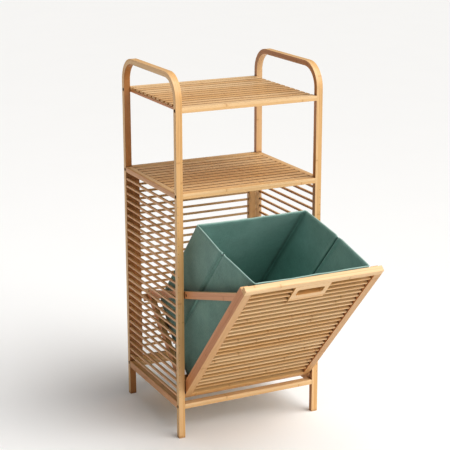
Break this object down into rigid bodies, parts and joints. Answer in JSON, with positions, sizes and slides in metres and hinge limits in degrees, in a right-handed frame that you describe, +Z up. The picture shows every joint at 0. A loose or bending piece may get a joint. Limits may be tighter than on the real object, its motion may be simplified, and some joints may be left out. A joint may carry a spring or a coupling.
{
  "type": "bamboo storage tower with tilt-out laundry basket",
  "caption": "Slatted bamboo tower with two open shelves between bent side hoops and a tilt-out laundry basket with a folding cloth bag below.",
  "frame": {"origin": "on the floor, at the bottom centre of the bounding box with the basket tilted open: midway across the tower and midway between the open door's foremost edge and the rear legs' back faces", "axes": "+Z up, +X to the tower's right-hand side as seen from the front, -Y to the front, where the basket opens"},
  "size_m": [0.406, 0.6788, 0.94],
  "materials": {
    "bamboo": "clear satin lacquer over laminated bamboo",
    "dark_steel": "blackened, semi-matt",
    "nylon": "black, matt",
    "bag_cloth": "woven polyester, matt, teal green"
  },
  "bodies": {
    "frame": {"left_hoop": "bamboo", "right_hoop": "bamboo", "top_shelf_front_rail": "bamboo", "top_shelf_back_rail": "bamboo", "top_shelf_left_cleat": "bamboo", "top_shelf_right_cleat": "bamboo", "top_shelf_slats": "bamboo", "middle_shelf_front_rail": "bamboo", "middle_shelf_back_rail": "bamboo", "middle_shelf_left_rail": "bamboo", "middle_shelf_right_rail": "bamboo", "middle_shelf_left_cleat": "bamboo", "middle_shelf_right_cleat": "bamboo", "middle_shelf_slats": "bamboo", "lower_front_rail": "bamboo", "lower_back_rail": "bamboo", "lower_left_rail": "bamboo", "lower_right_rail": "bamboo", "left_side_slats": "bamboo", "right_side_slats": "bamboo", "back_left_stile": "bamboo", "back_right_stile": "bamboo", "back_slats": "bamboo", "frame_bolts": "dark_steel", "threaded_inserts": "dark_steel", "slat_brads": "dark_steel", "hinge_pins": "dark_steel", "hinge_washers": "nylon"},
    "basket": {"door_left_stile": "bamboo", "door_right_stile": "bamboo", "door_top_rail": "bamboo", "door_bottom_rail": "bamboo", "door_slats": "bamboo", "door_left_short_slats": "bamboo", "door_right_short_slats": "bamboo", "handle_frame": "bamboo", "left_base_bar": "bamboo", "right_base_bar": "bamboo", "left_brace": "bamboo", "right_brace": "bamboo", "rear_cross_rail": "bamboo", "base_slats": "bamboo", "basket_dowels": "bamboo", "stop_dowels": "bamboo", "brace_bolts": "dark_steel", "laundry_bag": "bag_cloth"}
  },
  "joints": [
    {"name": "basket_tilt", "type": "hinge", "parent": "frame", "child": "basket", "pos_m": [0, 0.00415, 0.123], "axis": [1, 0, 0], "range_deg": [-42, 0]}
  ]
}
